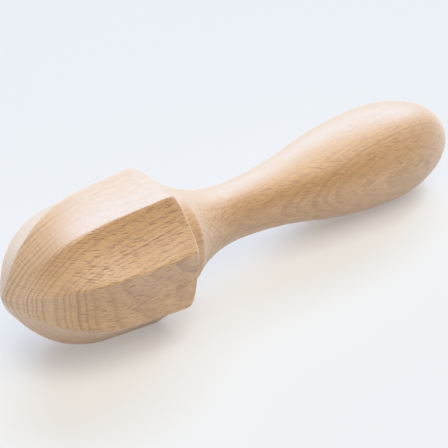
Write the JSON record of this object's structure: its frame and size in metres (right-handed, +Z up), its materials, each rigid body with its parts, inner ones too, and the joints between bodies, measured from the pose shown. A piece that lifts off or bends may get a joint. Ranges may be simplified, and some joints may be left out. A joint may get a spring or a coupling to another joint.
{
  "type": "citrus reamer",
  "caption": "Hand citrus reamer: a pointed, fluted wooden dome, pressed and twisted into a halved fruit, on a turned wooden handle with a collar, a slim neck and a thick rounded grip.",
  "frame": {"origin": "on the table under the middle of the reamer, lying on two neighbouring ridges of the head and on the thick part of the grip", "axes": "+X from the head's point towards the end of the handle, +Z up from the table; the turning axis falls about 4 degrees towards the handle"},
  "size_m": [0.1696, 0.0436, 0.0439],
  "materials": {
    "head_beech": "bare sanded beech, matt, unstained",
    "handle_beech": "bare sanded beech, matt, unstained"
  },
  "bodies": {
    "root": {"fluted_head": "head_beech", "handle": "handle_beech"}
  },
  "joints": []
}
